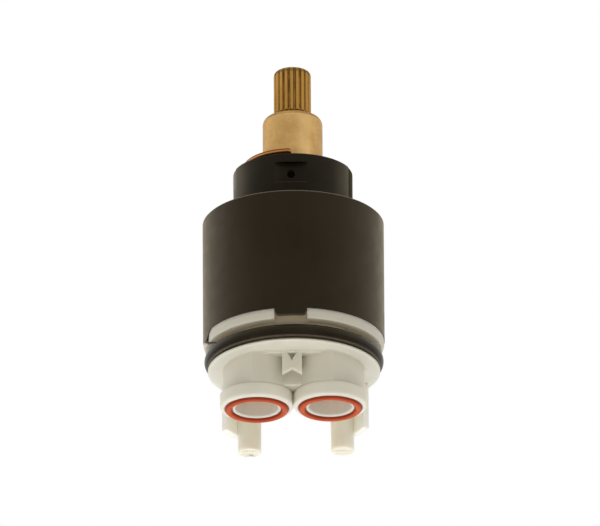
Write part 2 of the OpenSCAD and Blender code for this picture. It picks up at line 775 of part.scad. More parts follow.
module base_oring() color([0.09, 0.09, 0.09])
    torus(ring_groove_r + ring_cord / 2, ring_seal_r, z_groove + ring_lift + ring_cord / 2);

// One port seal, standing out of its groove
module port_seal() torus(seal_ring_r, seal_cord_r, z_port - port_seal_proud + seal_cord_r);

module port_seal_cold() color([0.78, 0.25, 0.15]) translate([-port_x, -port_y, 0]) port_seal();

module port_seal_hot() color([0.78, 0.25, 0.15]) translate([port_x, -port_y, 0]) port_seal();

housing();
neck_guide();
guide_oring();
stem();
stop_plate();
stem_oring_lower();
stem_oring_upper();
stem_bush();
stem_washer();
driver_washer();
disc_driver();
driver_seal();
moving_disc();
fixed_disc();
cold_gasket();
hot_gasket();
outlet_gasket();
base();
base_oring();
port_seal_cold();
port_seal_hot();
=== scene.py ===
# %% [markdown]
# # A mixer tap cartridge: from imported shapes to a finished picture
# A cartridge is the working heart of a mixer tap. A brass spindle turns one ceramic disc on another inside a
# dark plastic housing, and a white base brings the cold and the hot water in from below. The shapes come
# ready from CAD as a frame, with every piece in its place. What is left to Blender is what the eye takes for
# real: the finish of each material, the light, and the view.
#
# The frame is in metres. +Z runs up the spindle, and the two ports lie towards -Y.

# %% Load the frame and keep its box
import math

import bmesh
import bpy
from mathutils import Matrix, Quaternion, Vector, noise


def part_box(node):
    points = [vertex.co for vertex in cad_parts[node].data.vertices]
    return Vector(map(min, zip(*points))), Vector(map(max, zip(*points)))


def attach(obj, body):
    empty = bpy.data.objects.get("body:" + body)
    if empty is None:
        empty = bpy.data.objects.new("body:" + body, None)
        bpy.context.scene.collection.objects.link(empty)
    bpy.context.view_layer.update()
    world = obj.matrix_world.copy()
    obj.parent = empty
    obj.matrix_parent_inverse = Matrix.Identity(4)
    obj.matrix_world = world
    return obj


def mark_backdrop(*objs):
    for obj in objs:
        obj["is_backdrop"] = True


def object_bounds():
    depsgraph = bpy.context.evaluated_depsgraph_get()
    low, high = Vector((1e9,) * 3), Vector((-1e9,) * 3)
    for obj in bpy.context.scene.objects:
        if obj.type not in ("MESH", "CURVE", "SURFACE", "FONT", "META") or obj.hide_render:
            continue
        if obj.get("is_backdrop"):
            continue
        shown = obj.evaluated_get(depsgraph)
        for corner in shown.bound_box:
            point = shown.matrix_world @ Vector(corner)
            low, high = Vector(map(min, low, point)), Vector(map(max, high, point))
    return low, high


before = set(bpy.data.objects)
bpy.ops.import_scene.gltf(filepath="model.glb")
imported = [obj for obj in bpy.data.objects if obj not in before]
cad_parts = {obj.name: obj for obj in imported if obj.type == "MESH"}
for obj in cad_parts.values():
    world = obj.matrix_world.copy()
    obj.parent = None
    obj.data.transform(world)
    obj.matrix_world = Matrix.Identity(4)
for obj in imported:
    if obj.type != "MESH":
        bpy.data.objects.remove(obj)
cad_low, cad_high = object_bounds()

MM = 0.001
scene = bpy.context.scene
print("pieces:", len(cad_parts), "size in mm:", [round(v / MM, 1) for v in cad_high - cad_low])

# %% [markdown]
# ## The camera
# The photograph looks up at the cartridge from below, so that both ports show. The round edges tell how
# steeply: a circle becomes an ellipse, and its height over its width is the sine of the camera's tilt. A long
# lens from far away keeps the ellipses of the top and the bottom alike, as they are in the photograph. A
# wide lens close by would be the other way, but it would swell whatever is near.

# %% Camera below the cartridge
view_azimuth = math.radians(1.9)
view_elevation = math.radians(-22.6)
view_roll = math.radians(-0.36)
view_distance = 4.0
picture_width = 129.0 * MM
aim_height = 39.85 * MM
aim_aside = 1.42 * MM

backwards = Vector((math.sin(view_azimuth) * math.cos(view_elevation),
                    -math.cos(view_azimuth) * math.cos(view_elevation),
                    math.sin(view_elevation)))
rightwards = Vector((math.cos(view_azimuth), math.sin(view_azimuth), 0))
camera = bpy.data.objects.new("photo_camera", bpy.data.cameras.new("photo_camera"))
scene.collection.objects.link(camera)
camera.data.sensor_width = 36
camera.data.lens = camera.data.sensor_width * view_distance / picture_width
camera.data.clip_start, camera.data.clip_end = 0.01, 20
camera.location = Vector((0, 0, aim_height)) + rightwards * aim_aside + backwards * view_distance
straight = (-backwards).to_track_quat("-Z", "Y")
camera.rotation_euler = (straight @ Quaternion((0, 0, 1), view_roll)).to_euler()
scene.camera = camera
scene.view_settings.view_transform = "Standard"
print("lens in mm:", round(camera.data.lens), "camera height in mm:", round(camera.location.z / MM))

# %% [markdown]
# ## Writing shader nodes briefly
# A material is a small net of nodes. Dragging them by hand is one way; writing them in Python is another,
# and it can be run again. A few short helpers keep the net readable. The first two make a node and fill or
# link its inputs, and the others do arithmetic.

# %% Helpers: nodes and arithmetic
def fill(tree, socket, value):
    """Links the socket to another one, or sets its own value."""
    if isinstance(value, bpy.types.NodeSocket):
        tree.links.new(value, socket)
    else:
        socket.default_value = value


def node(tree, kind, settings=None, **inputs):
    """A node of this kind, with its settings and its inputs by name."""
    made = tree.nodes.new("ShaderNode" + kind)
    for name, value in (settings or {}).items():
        setattr(made, name, value)
    for name, value in inputs.items():
        fill(tree, made.inputs[name.replace("_", " ")], value)
    return made


def sums(tree, operation, *values):
    """The result of one arithmetic step."""
    made = tree.nodes.new("ShaderNodeMath")
    made.operation = operation
    for socket, value in zip(made.inputs, values):
        fill(tree, socket, value)
    return made.outputs[0]


def product(tree, first, *others):
    """All these values multiplied together."""
    for value in others:
        first = sums(tree, "MULTIPLY", first, value)
    return first


def reach(tree, first, second):
    """The straight distance that two steps at a right angle make."""
    return sums(tree, "SQRT", sums(tree, "ADD", product(tree, first, first), product(tree, second, second)))

# %% [markdown]
# ### Where a point lies, and masks
# Dirt, wear and stains lie in certain places. A mask says where: it is 1 there, 0 elsewhere, and changes
# softly between the two. It could be painted by hand. Here it is worked out from a point's place, height or
# direction, so it needs no picture and stays sharp close up. Object coordinates are the piece's own: at rest
# they are the frame's metres, and they go along when the piece turns.

# %% Helpers: places and masks
def object_place(tree):
    """Where a point lies, in its own piece's coordinates."""
    return node(tree, "TexCoord").outputs["Object"]


def object_axes(tree):
    """X, Y and Z of a point, by name."""
    return node(tree, "SeparateXYZ", Vector=object_place(tree)).outputs


def facing_up(tree):
    """1 where the surface looks straight up, 0 on a wall, -1 where it looks down."""
    return node(tree, "SeparateXYZ", Vector=node(tree, "NewGeometry").outputs["Normal"]).outputs["Z"]


def between(tree, value, start, end, low=0.0, high=1.0):
    """low where value is at start, high where it is at end, and a smooth change between them."""
    made = node(tree, "MapRange", {"interpolation_type": "SMOOTHSTEP"}, Value=value)
    for name, number in (("From Min", start), ("From Max", end), ("To Min", low), ("To Max", high)):
        fill(tree, made.inputs[name], number)
    return made.outputs[0]


def within(tree, value, start, full, last, end):
    """1 from full to last, 0 before start and after end, and smooth changes between them."""
    return product(tree, between(tree, value, start, full), between(tree, value, end, last))


def mixed(tree, factor, first, second):
    """A colour between the first and the second."""
    made = tree.nodes.new("ShaderNodeMix")
    made.data_type = "RGBA"
    for index, value in ((0, factor), (6, first), (7, second)):
        fill(tree, made.inputs[index], value)
    return made.outputs[2]

# %% [markdown]
# ## Floor and backdrop
# A product picture like this one has a pure white ground. The camera stands lower than the object here, so
# an ordinary floor would hide it. This floor is one-sided: from above it is a pale surface with the object's
# shadow on it, and from below it isn't there. Geometry's Backfacing and the Light Path node tell the shader
# which case it is in. Only the camera and mirror-like reflections see the floor; all other light passes it,
# as it would a lit glass table. It fades out with distance, so that no horizon shows.

# %% A one-sided pale floor
def one_sided_floor(radius, fade_from):
    """A round floor that shows from above alone and fades out towards its rim."""
    sheet = bmesh.new()
    bmesh.ops.create_circle(sheet, cap_ends=True, segments=96, radius=radius)
    mesh = bpy.data.meshes.new("studio_floor")
    sheet.to_mesh(mesh)
    sheet.free()
    floor = bpy.data.objects.new("studio_floor", mesh)
    scene.collection.objects.link(floor)
    paint = bpy.data.materials.new("pale_floor")
    paint.use_nodes = True
    tree = paint.node_tree
    tree.nodes.clear()
    path = node(tree, "LightPath").outputs
    seen = sums(tree, "MAXIMUM", path["Is Camera Ray"], path["Is Glossy Ray"])
    front = sums(tree, "SUBTRACT", 1.0, node(tree, "NewGeometry").outputs["Backfacing"])
    place = object_place(tree)
    far = node(tree, "VectorMath", {"operation": "LENGTH"}, Vector=place).outputs["Value"]
    near = between(tree, far, fade_from, radius * 0.95, 1.0, 0.0)
    tone = mixed(tree, node(tree, "TexNoise", Vector=place, Scale=9.0).outputs["Fac"],
                 (0.93, 0.93, 0.92, 1), (0.96, 0.96, 0.955, 1))
    surface = node(tree, "BsdfPrincipled", Base_Color=tone, Roughness=0.9, Specular_IOR_Level=0.1)
    choice = node(tree, "MixShader", Fac=product(tree, seen, front, near))
    tree.links.new(node(tree, "BsdfTransparent").outputs[0], choice.inputs[1])
    tree.links.new(surface.outputs[0], choice.inputs[2])
    tree.links.new(choice.outputs[0], node(tree, "OutputMaterial").inputs["Surface"])
    mesh.materials.append(paint)
    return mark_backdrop(floor)


one_sided_floor(radius=0.9, fade_from=0.12)
print("floor: one-sided, level with the peg tips")

# %% [markdown]
# ## Light
# The photograph has soft light from all round and much from below, as inside a light tent: the underside of
# the white flange is its brightest part. A world that is bright below, dimmer above and brighter behind the
# object gives that. It lights only what scatters light: the camera, mirror-like reflections and rays through
# clear things see pure white instead.

# %% A light tent for a world
tent_below, tent_level, tent_above, tent_behind = 0.98, 0.33, 0.40, 2.0
world = bpy.data.worlds.new("light_tent")
scene.world = world
world.use_nodes = True
tree = world.node_tree
tree.nodes.clear()
direction = node(tree, "SeparateXYZ", Vector=node(tree, "TexCoord").outputs["Generated"]).outputs
under = between(tree, direction["Z"], -0.9, 0.0, tent_below, tent_level)
over = between(tree, direction["Z"], 0.0, 0.5, 1.0, tent_above / tent_level)
behind = between(tree, direction["Y"], -0.1, 0.8, 1.0, tent_behind)
light = node(tree, "Background", Color=(1.0, 0.985, 0.96, 1), Strength=product(tree, under, over, behind))
white = node(tree, "Background", Color=(1, 1, 1, 1), Strength=1.0)
path = node(tree, "LightPath").outputs
shown_white = sums(tree, "MAXIMUM", sums(tree, "MAXIMUM", path["Is Camera Ray"], path["Is Glossy Ray"]),
                   path["Is Transmission Ray"])
choice = node(tree, "MixShader", Fac=shown_white)
tree.links.new(light.outputs[0], choice.inputs[1])
tree.links.new(white.outputs[0], choice.inputs[2])
tree.links.new(choice.outputs[0], node(tree, "OutputWorld").inputs["Surface"])
print("tent level below, level and above:", tent_below, tent_level, tent_above)

# %% [markdown]
# ### Lamps
# Three large, weak area lamps add brighter sides and a little light straight from above, and a small one
# close under the floor brightens the underside. Point lamps would be simpler, but their shadows are hard.
# Tent and lamps together show a colour about as it is written.

# %% Four soft lamps
def soft_lamp(name, place, width, watts):
    """A square area lamp that looks at the middle of the cartridge."""
    data = bpy.data.lights.new(name, "AREA")
    data.shape, data.size = "SQUARE", width
    data.energy, data.color = watts, (1.0, 0.98, 0.95)
    lamp = bpy.data.objects.new(name, data)
    scene.collection.objects.link(lamp)
    lamp.visible_camera = False
    lamp.location = place
    lamp.rotation_euler = (Vector((0, 0, aim_height)) - lamp.location).to_track_quat("-Z", "Y").to_euler()


soft_lamp("left_side", (-0.95, 0.12, 0.10), width=1.2, watts=1.95)
soft_lamp("right_side", (0.90, -0.30, 0.15), width=1.2, watts=1.7)
soft_lamp("overhead", (0.0, 0.05, 1.0), width=0.7, watts=2.2)
soft_lamp("under_table", (-0.03, -0.11, -0.12), width=0.20, watts=0.105)

# %% [markdown]
# ## Effects that several materials share
# Moulded plastic, rubber and tumbled brass have much in common: a softened edge, a fine grain, tones that
# drift over a surface, marks that run round a turned part. Each such effect is built once as a node group
# with named inputs and outputs, and then placed in a material with that material's own values. A group puts
# out only values, colours and normals; the shader itself stays in the material.

# %% Making a node group
FLOAT, COLOUR, VECTOR = "NodeSocketFloat", "NodeSocketColor", "NodeSocketVector"


def new_group(name, inputs, outputs):
    """A group with these sockets: its tree, what it is given, and what it gives back."""
    tree = bpy.data.node_groups.new(name, "ShaderNodeTree")
    for label, kind, value in inputs:
        tree.interface.new_socket(name=label, in_out="INPUT", socket_type=kind).default_value = value
    for label, kind in outputs:
        tree.interface.new_socket(name=label, in_out="OUTPUT", socket_type=kind)
    print("group made:", name)
    return tree, tree.nodes.new("NodeGroupInput").outputs, tree.nodes.new("NodeGroupOutput").inputs


def place_group(tree, group, **inputs):
    """The outputs of a group placed in a material, with its inputs by name."""
    made = tree.nodes.new("ShaderNodeGroup")
    made.node_tree = group
    for name, value in inputs.items():
        fill(tree, made.inputs[name.replace("_", " ")], value)
    return made.outputs

# %% [markdown]
# ### Soft edge
# No real edge is perfectly sharp: a moulded one has a small radius, and a turned one is broken with a file.
# The mesh could be bevelled, but the CAD mesh is kept as it is. The Bevel node does it in the shader: it
# bends the normal near an edge. Where the bent normal leans away from the true one there is an edge, and
# that makes a mask for wear and for painted edge highlights.

# %% Group: soft edge
soft_edge, given, result = new_group("Soft edge", [("Radius", FLOAT, 0.15 * MM)],
                                     [("Normal", VECTOR), ("Mask", FLOAT)])
rounded = node(soft_edge, "Bevel", {"samples": 6}, Radius=given["Radius"]).outputs[0]
leaning = soft_edge.nodes.new("ShaderNodeVectorMath")
leaning.operation = "DOT_PRODUCT"
fill(soft_edge, leaning.inputs[0], rounded)
fill(soft_edge, leaning.inputs[1], node(soft_edge, "NewGeometry").outputs["Normal"])
fill(soft_edge, result["Normal"], rounded)
barely_bent, fully_bent = 0.995, 0.86
fill(soft_edge, result["Mask"], between(soft_edge, leaning.outputs["Value"], barely_bent, fully_bent))

# %% [markdown]
# ### Mould grain
# A steel mould is spark-eroded or blasted, and its skin is pressed into the plastic: a fine pitted grain with
# slower waves under it. Two noise textures of different scale give that. A texture of cells would be another
# way, but cells look like leather when they are enlarged.

# %% Group: mould grain
mould_grain, given, result = new_group("Mould grain", [("Scale", FLOAT, 4000.0), ("Waves", FLOAT, 0.4)],
                                       [("Height", FLOAT), ("Tone", FLOAT)])
place = object_place(mould_grain)
slow_scale = product(mould_grain, given["Scale"], 0.09)
fine = node(mould_grain, "TexNoise", Vector=place, Scale=given["Scale"], Detail=3.0, Roughness=0.6)
slow = node(mould_grain, "TexNoise", Vector=place, Scale=slow_scale, Detail=2.0)
height = sums(mould_grain, "MULTIPLY_ADD", slow.outputs["Fac"], given["Waves"], fine.outputs["Fac"])
fill(mould_grain, result["Height"], height)
fill(mould_grain, result["Tone"], between(mould_grain, slow.outputs["Fac"], 0.32, 0.68))

# %% [markdown]
# ### Drifting tones
# Even a plain colour isn't even. Pigment, handling and thickness make it drift by a few per cent over a
# centimetre or two. The group mixes two near tones by a slow noise. A single colour would be simpler, but it
# looks like paint on a screen.

# %% Group: drifting tones
drifting, given, result = new_group(
    "Drifting tones",
    [("First", COLOUR, (1, 1, 1, 1)), ("Second", COLOUR, (0, 0, 0, 1)), ("Scale", FLOAT, 90.0)],
    [("Color", COLOUR), ("Mask", FLOAT)])
cloud = node(drifting, "TexNoise", Vector=object_place(drifting), Scale=given["Scale"], Detail=4.0,
             Roughness=0.55)
drift = between(drifting, cloud.outputs["Fac"], 0.34, 0.66)
fill(drifting, result["Color"], mixed(drifting, drift, given["First"], given["Second"]))
fill(drifting, result["Mask"], drift)

# %% [markdown]
# ### Turning marks
# A lathe tool leaves fine rings round the axis, and a mould that was turned passes them on. Noise that is
# squeezed along the axis and stretched round it looks the same. The coordinates are scaled before they reach
# the texture: much along Z, little across.

# %% Group: turning marks
turning, given, result = new_group("Turning marks", [("Rings", FLOAT, 9000.0), ("Breaks", FLOAT, 160.0)],
                                   [("Height", FLOAT)])
axes = object_axes(turning)
squeezed = node(turning, "CombineXYZ", X=product(turning, axes["X"], given["Breaks"]),
                Y=product(turning, axes["Y"], given["Breaks"]), Z=product(turning, axes["Z"], given["Rings"]))
rings = node(turning, "TexNoise", Vector=squeezed.outputs[0], Scale=1.0, Detail=2.0)
fill(turning, result["Height"], rings.outputs["Fac"])

# %% [markdown]
# ### Round coordinates
# Much of this object is round, so its marks are easiest to place by distance from an axis, angle round it
# and height. This group turns X, Y and Z into those three, about any upright axis.

# %% Group: round coordinates
round_place, given, result = new_group(
    "Round coordinates", [("Centre X", FLOAT, 0.0), ("Centre Y", FLOAT, 0.0)],
    [("Distance", FLOAT), ("Angle", FLOAT), ("Height", FLOAT)])
axes = object_axes(round_place)
aside = sums(round_place, "SUBTRACT", axes["X"], given["Centre X"])
ahead = sums(round_place, "SUBTRACT", axes["Y"], given["Centre Y"])
fill(round_place, result["Distance"], reach(round_place, aside, ahead))
fill(round_place, result["Angle"], sums(round_place, "ARCTAN2", ahead, aside))
fill(round_place, result["Height"], axes["Z"])

# %% [markdown]
# ### Seam
# Where two halves of a mould meet, a hair-thin ridge stays. It lies where some coordinate has one value, so
# the group takes that coordinate's distance from there and gives a ridge of a chosen width.

# %% Group: seam
seam, given, result = new_group("Seam", [("Offset", FLOAT, 0.0), ("Width", FLOAT, 0.12 * MM)],
                                [("Height", FLOAT)])
away = sums(seam, "DIVIDE", sums(seam, "ABSOLUTE", given["Offset"]), given["Width"])
fill(seam, result["Height"], between(seam, away, 1.0, 0.2))

# %% [markdown]
# ## Giving a node its material
# Each CAD node keeps its mesh. Its object's material slot gets the new finish. What is the same all over a
# surface is set as a plain value on the shader; only what changes over it is linked.

# %% Material helpers
def new_material(name):
    """A material with one Principled shader: itself, its tree and the shader's inputs."""
    made = bpy.data.materials.new(name)
    made.use_nodes = True
    made.node_tree.nodes.clear()
    surface = node(made.node_tree, "BsdfPrincipled")
    made.node_tree.links.new(surface.outputs[0], node(made.node_tree, "OutputMaterial").inputs["Surface"])
    return made, made.node_tree, surface.inputs


def set_plain(finish, **values):
    """Values that are the same all over, by the names of the shader's inputs."""
    for name, value in values.items():
        finish[name.replace("_", " ")].default_value = value


def bumped(tree, height, depth, strength, normal=None):
    """A normal that follows this height, which is in units of depth, on top of another normal."""
    made = node(tree, "Bump", Height=height, Distance=depth, Strength=strength)
    if normal is not None:
        fill(tree, made.inputs["Normal"], normal)
    return made.outputs[0]


def dress(material, slot, *names):
    """Puts the material on these pieces. The slot argument is not used."""
    for name in names:
        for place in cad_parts[name].material_slots:
            place.link, place.material = "OBJECT", material
    print(material.name, "on", ", ".join(names))

# %% [markdown]
# ## Housing: dark brown-black nylon
# The sleeve is moulded in glass-filled nylon, which comes out matte, brown-black and faintly cloudy. Straight
# on it is nearly black; towards its sides it turns grey-brown, because a rough surface sends back more light
# at a glancing angle. Sheen does that in the shader: a thin layer that shows mostly near the outline, here
# with a warm tint. More gloss would be the other way, but it would light the middle too, so the gloss is
# turned down. Stretched noise draws faint upright streaks, and handling rubs the edges a little lighter.

# %% Housing nylon
housing_nylon, tree, finish = new_material("housing_nylon")
tones = place_group(tree, drifting, First=(0.0104, 0.0061, 0.003, 1), Second=(0.0162, 0.0102, 0.0052, 1),
                    Scale=70.0)
edge = place_group(tree, soft_edge, Radius=0.22 * MM)
grain = place_group(tree, mould_grain, Scale=3600.0, Waves=0.8)
upright_threads = node(tree, "Mapping", Vector=object_place(tree), Scale=(420.0, 420.0, 22.0)).outputs[0]
streaks = node(tree, "TexNoise", Vector=upright_threads, Scale=1.0, Detail=2.0).outputs["Fac"]
rubbed = product(tree, edge["Mask"], between(tree, grain["Tone"], 0.1, 0.9, 0.35, 1.0), 0.35)
streak_colour, rubbed_colour = (0.028, 0.020, 0.012, 1), (0.105, 0.085, 0.062, 1)
colour = mixed(tree, product(tree, streaks, 0.30), tones["Color"], streak_colour)
fill(tree, finish["Base Color"], mixed(tree, rubbed, colour, rubbed_colour))
fill(tree, finish["Roughness"], between(tree, grain["Tone"], 0.0, 1.0, 0.44, 0.54))
set_plain(finish, Specular_IOR_Level=0.1, Specular_Tint=(1.0, 0.86, 0.64, 1),
          Sheen_Weight=0.36, Sheen_Roughness=0.45, Sheen_Tint=(1.0, 0.86, 0.58, 1))
skin = sums(tree, "MULTIPLY_ADD", streaks, 0.5, grain["Height"])
fill(tree, finish["Normal"], bumped(tree, skin, 0.012 * MM, 0.6, edge["Normal"]))
dress(housing_nylon, "housing_plastic", "housing")

# %% [markdown]
# ## Neck: the same black, but polished
# The neck guide has to slide in its nut and seal on the stem, so its mould is polished. It is blacker and
# smoother than the housing. Its edges carry a faint painted highlight, more at the sides than in front, and
# its two sides are painted paler and warmer, as a painted sheen. A texture painted by hand could show that;
# masks by distance and angle are quicker to move.

# %% Neck plastic: tones, painted edge highlight and painted side sheen
neck_black, tree, finish = new_material("neck_black")
tones = place_group(tree, drifting, First=(0.0078, 0.0060, 0.0038, 1), Second=(0.0128, 0.0103, 0.0068, 1),
                    Scale=110.0)
edge = place_group(tree, soft_edge, Radius=0.3 * MM)
about = place_group(tree, round_place)
axes = object_axes(tree)
sideways = sums(tree, "ABSOLUTE", axes["X"])
# painted highlight on the neck's edges, stronger at the sides than in front
edge_highlight_and_wear = product(tree, edge["Mask"], between(tree, sideways, 4.5 * MM, 6.0 * MM, 0.12, 0.5))
side_sheen_from, side_sheen_full = 8.5 * MM, 11.0 * MM
# painted sheen: the neck's two sides are painted paler and warmer
painted_side_sheen = product(tree, between(tree, sideways, side_sheen_from, side_sheen_full),
                 between(tree, tones["Mask"], 0.0, 1.0, 0.7, 1.0))
edge_highlight_and_wear_colour, side_sheen_colour = (0.075, 0.066, 0.05, 1), (0.042, 0.031, 0.013, 1)
colour = mixed(tree, edge_highlight_and_wear, tones["Color"], edge_highlight_and_wear_colour)
colour = mixed(tree, painted_side_sheen, colour, side_sheen_colour)
# the side film in this print is the painted sheen, not a real film
print("film on the neck's sides from, in mm off its middle:", round(side_sheen_from / MM, 1))

# %% [markdown]
# ### Where the neck stays black
# Three places of the neck catch no light in the photograph: the round dimple in its front, the ceiling of the
# scoop round that dimple, and a strip at the right that is turned away. Real shadow does part of that, and a
# mask with a blacker colour does the rest. The ceiling is seen at a glancing angle, where sheen would light
# it, so its normal is turned to the front.

# %% Neck plastic: dimple, scoop and turned side
dimple_height, dimple_radius, scoop_top = 55.9 * MM, 0.95 * MM, 58.05 * MM
near_front, in_front = -1.3, -1.4
from_dimple = reach(tree, axes["X"], sums(tree, "SUBTRACT", axes["Z"], dimple_height))
in_dimple = product(tree, between(tree, from_dimple, dimple_radius, dimple_radius - 0.15 * MM),
                    between(tree, about["Angle"], near_front, in_front))
from_top = sums(tree, "ABSOLUTE", sums(tree, "SUBTRACT", axes["Z"], scoop_top))
on_ceiling = product(tree, between(tree, from_top, 0.6 * MM, 0.4 * MM),
                     between(tree, facing_up(tree), -0.3, -0.7))
# painted shade: a blacker colour on the dimple, the scoop's ceiling and a strip at the right, which is also
# rougher
side_start, side_end = -0.385, 0.7
painted_shade_side = within(tree, about["Angle"], side_start, side_start + 0.03, side_end - 0.2, side_end)
unlit_colour = (0.0028, 0.0019, 0.0012, 1)
painted_shade_and_rough = sums(tree, "MAXIMUM", in_dimple, painted_shade_side)
colour = mixed(tree, sums(tree, "MAXIMUM", painted_shade_and_rough, on_ceiling), colour, unlit_colour)
fill(tree, finish["Base Color"], colour)
print("dimple and scoop at, in mm:", round(dimple_height / MM, 2), round(scoop_top / MM, 2))

# %% [markdown]
# ### The neck's skin
# The skin is nearly smooth: a weak grain, the rings of a turned mould, and a hair-thin seam down each side,
# where the mould's sliders met. Geometry for such small marks would cost many faces, so they are bump.

# %% Neck plastic: skin
grain = place_group(tree, mould_grain, Scale=2600.0, Waves=1.2)
rings = place_group(tree, turning, Rings=5200.0, Breaks=90.0)
ridge = place_group(tree, seam, Offset=axes["Y"], Width=0.1 * MM)
polish = between(tree, grain["Tone"], 0.0, 1.0, 0.30, 0.40)
fill(tree, finish["Roughness"], sums(tree, "MAXIMUM", polish, painted_shade_and_rough))
set_plain(finish, Specular_IOR_Level=0.1, Specular_Tint=(1.0, 0.86, 0.64, 1),
          Sheen_Weight=0.2, Sheen_Roughness=0.4, Sheen_Tint=(1.0, 0.82, 0.40, 1))
skin = sums(tree, "ADD", product(tree, grain["Height"], 0.6),
            sums(tree, "ADD", product(tree, rings["Height"], 0.5), product(tree, ridge["Height"], 3.0)))
forwards = node(tree, "CombineXYZ", X=0.0, Y=-1.0, Z=0.0).outputs[0]
turned = mixed(tree, on_ceiling, edge["Normal"], forwards)
fill(tree, finish["Normal"], bumped(tree, skin, 0.008 * MM, 0.6, turned))
dress(neck_black, "neck_plastic", "neck_guide")

# %% [markdown]
# ## Stem: turned and tumbled brass
# The stem is turned from brass bar, its splines are rolled or milled, and then it is tumbled with stones to
# break the edges. Tumbling covers the lathe's rings with thousands of tiny dents, which is why the metal
# looks soft and golden and not mirror-bright. Tarnish and small specks lie all over it, and a strip at its
# right front carries a painted highlight. A smooth metal with one colour would be the short way, but it
# looks like gold paint.

# %% Stem brass: tarnish, specks and painted highlight strip
stem_brass, tree, finish = new_material("stem_brass")
tones = place_group(tree, drifting, First=(0.475, 0.29, 0.103, 1), Second=(0.525, 0.335, 0.128, 1), Scale=300.0)
about = place_group(tree, round_place)
axes = object_axes(tree)
patches = node(tree, "TexNoise", Vector=object_place(tree), Scale=520.0, Detail=3.0).outputs["Fac"]
specks = node(tree, "TexNoise", Vector=object_place(tree), Scale=1700.0, Detail=3.0).outputs["Fac"]
# painted highlight: a lighter strip at the stem's right front
strip_left, strip_right = 0.6 * MM, 4.6 * MM
painted_highlight_strip = product(tree, within(tree, axes["X"], strip_left, 2.2 * MM, 3.4 * MM, strip_right),
                   between(tree, axes["Y"], 0.0, -2.0 * MM, 0.0, 0.55))
tarnish_colour, speck_colour = (0.35, 0.20, 0.075, 1), (0.38, 0.23, 0.08, 1)
painted_highlight_colour = (0.61, 0.42, 0.185, 1)
colour = mixed(tree, between(tree, patches, 0.5, 0.72, 0.0, 0.22), tones["Color"], tarnish_colour)
colour = mixed(tree, between(tree, specks, 0.45, 0.70, 0.0, 0.35), colour, speck_colour)
colour = mixed(tree, painted_highlight_strip, colour, painted_highlight_colour)
# the rubbed strip in this print is the painted highlight
print("rubbed strip, in mm right of the axis:", round(strip_left / MM, 1), "to", round(strip_right / MM, 1))

# %% [markdown]
# ### Grease, oxide and painted shade on the spline
# The whole spline is darker than the barrel below it. Its grooves are darker still, partly from grease and
# oxide in the hollows and partly as painted shade, most of all towards the tip and where they face the front
# or the back. The ring at its foot carries painted shade, a fine line of painted shade runs round the
# shoulder under it, and the rounded tip is painted dark too. All heights are measured from the stem's box,
# so these marks follow the stem.

# %% Stem brass: grease, oxide and painted shade on the spline
spline_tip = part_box("stem")[1].z
spline_foot = spline_tip - 10.9 * MM
groove_bottom, tooth_crest = 3.6 * MM, 3.98 * MM
spline_colour, groove_colour = (0.39, 0.21, 0.043, 1), (0.15, 0.072, 0.018, 1)
foot_shade_colour, crease_shade_colour, tip_shade_colour = (0.17, 0.085, 0.02, 1), (0.25, 0.14, 0.045, 1), (0.21, 0.115, 0.03, 1)

shoulder, line_height, tip_start = spline_foot - 1.2 * MM, spline_foot - 0.95 * MM, spline_tip - 1.3 * MM
# the whole spline is darker than the barrel below it
above_barrel = between(tree, about["Height"], shoulder, shoulder + 0.7 * MM)
colour = mixed(tree, product(tree, above_barrel, 0.9), colour, spline_colour)
# painted shade on the ring at the spline's foot
foot_ring = product(tree, above_barrel,
                    between(tree, about["Height"], spline_foot + 1.0 * MM, spline_foot + 0.7 * MM),
                    between(tree, about["Distance"], tooth_crest, groove_bottom, 0.45, 0.95))
colour = mixed(tree, foot_ring, colour, foot_shade_colour)
# painted shade: a dark line in the crease round the shoulder
from_line = sums(tree, "ABSOLUTE", sums(tree, "SUBTRACT", about["Height"], line_height))
colour = mixed(tree, between(tree, from_line, 0.30 * MM, 0.10 * MM, 0.0, 0.7), colour, crease_shade_colour)
on_spline = between(tree, about["Height"], spline_foot + 0.2 * MM, spline_foot + 0.9 * MM)
# grooves: grease and oxide in the hollows, and painted shade where they face the front or the back
in_groove = product(tree, between(tree, about["Distance"], tooth_crest, groove_bottom), on_spline)
patchy = between(tree, patches, 0.35, 0.62, 0.35, 0.9)
towards_tip = between(tree, about["Height"], spline_foot + 2.5 * MM, spline_tip - 3.0 * MM, 0.6, 1.0)
front_back_shade = between(tree, sums(tree, "ABSOLUTE", axes["X"]), 1.7 * MM, 3.2 * MM, 1.0, 0.15)
colour = mixed(tree, product(tree, in_groove, patchy, towards_tip, front_back_shade), colour, groove_colour)
# painted shade on the rounded tip
rounded_tip = between(tree, about["Height"], tip_start, tip_start + 0.3 * MM, 0.0, 0.85)
colour = mixed(tree, rounded_tip, colour, tip_shade_colour)
print("spline from", round(spline_foot / MM, 2), "to", round(spline_tip / MM, 2), "mm")

# %% [markdown]
# ### Dents, rings and the thread
# Dents and rings are bump, since they are finer than a face of the mesh. The screw hole at the top is tapped:
# its thread is a helix in the bump, whose height depends on how far up a point lies plus how far round.

# %% Stem brass: surface and thread
edge = place_group(tree, soft_edge, Radius=0.12 * MM)
dents = place_group(tree, mould_grain, Scale=2300.0, Waves=1.4)
rings = place_group(tree, turning, Rings=6500.0, Breaks=130.0)
